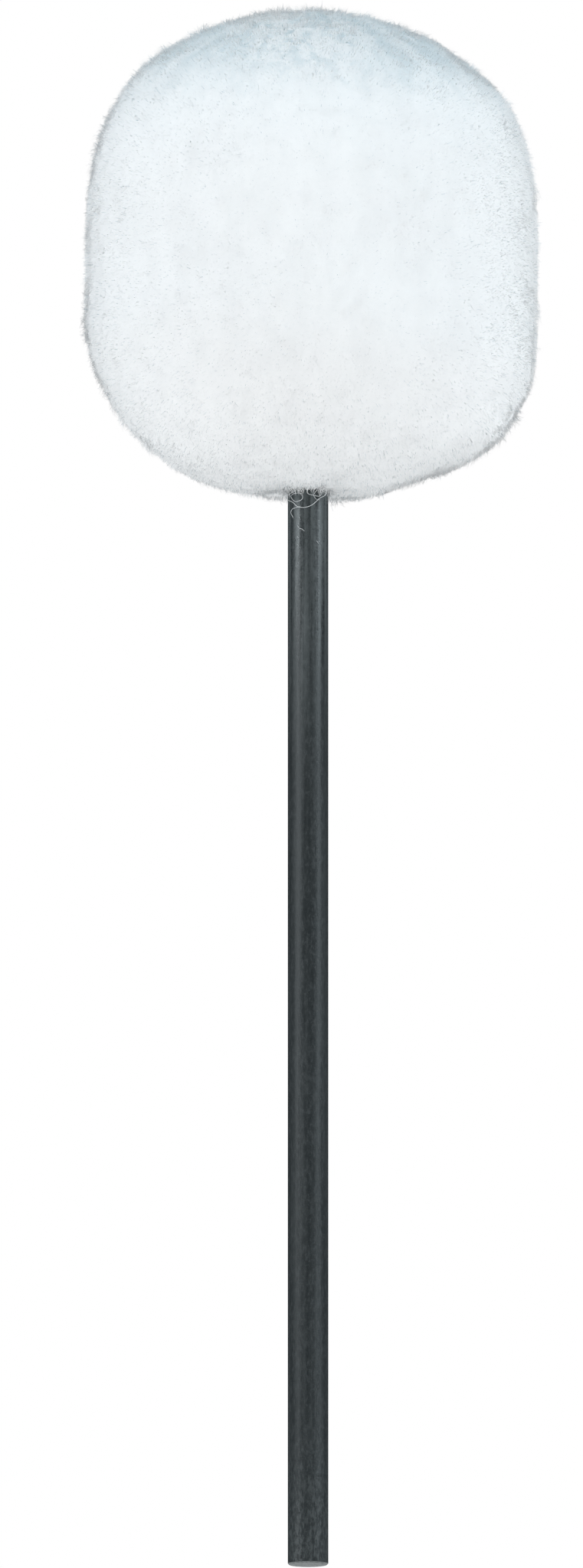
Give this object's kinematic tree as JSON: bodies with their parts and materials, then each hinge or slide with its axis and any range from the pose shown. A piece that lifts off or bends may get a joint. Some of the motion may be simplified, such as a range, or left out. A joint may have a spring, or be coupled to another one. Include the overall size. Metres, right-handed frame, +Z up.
{
  "type": "bass drum beater",
  "caption": "Bass drum pedal beater: a straight blackened steel shaft carrying a large soft head of white fleece over felt and a hardwood core.",
  "frame": {"origin": "centre of the shaft's flat lower end", "axes": "+Z runs up along the shaft to the head; the object is round about Z, and -Y faces the picture's viewer"},
  "size_m": [0.0724, 0.0724, 0.2463],
  "materials": {
    "black_steel": "satin",
    "white_fleece": "matte",
    "zinc_steel": "satin",
    "hardwood": "satin",
    "nylon": "satin",
    "grey_felt": "matte",
    "wadding": "matte",
    "white_thread": "matte"
  },
  "bodies": {
    "root": {"shaft": "black_steel", "fleece_cover": "white_fleece", "lower_washer": "zinc_steel", "core": "hardwood", "upper_washer": "zinc_steel", "upper_lock_nut": "zinc_steel", "lock_nut_insert": "nylon", "felt_wrap": "grey_felt", "lower_felt_pad": "grey_felt", "upper_felt_pad": "grey_felt", "batting": "wadding", "side_seam_thread": "white_thread", "crown_gather_thread": "white_thread", "neck_gather_thread": "white_thread"}
  },
  "joints": []
}
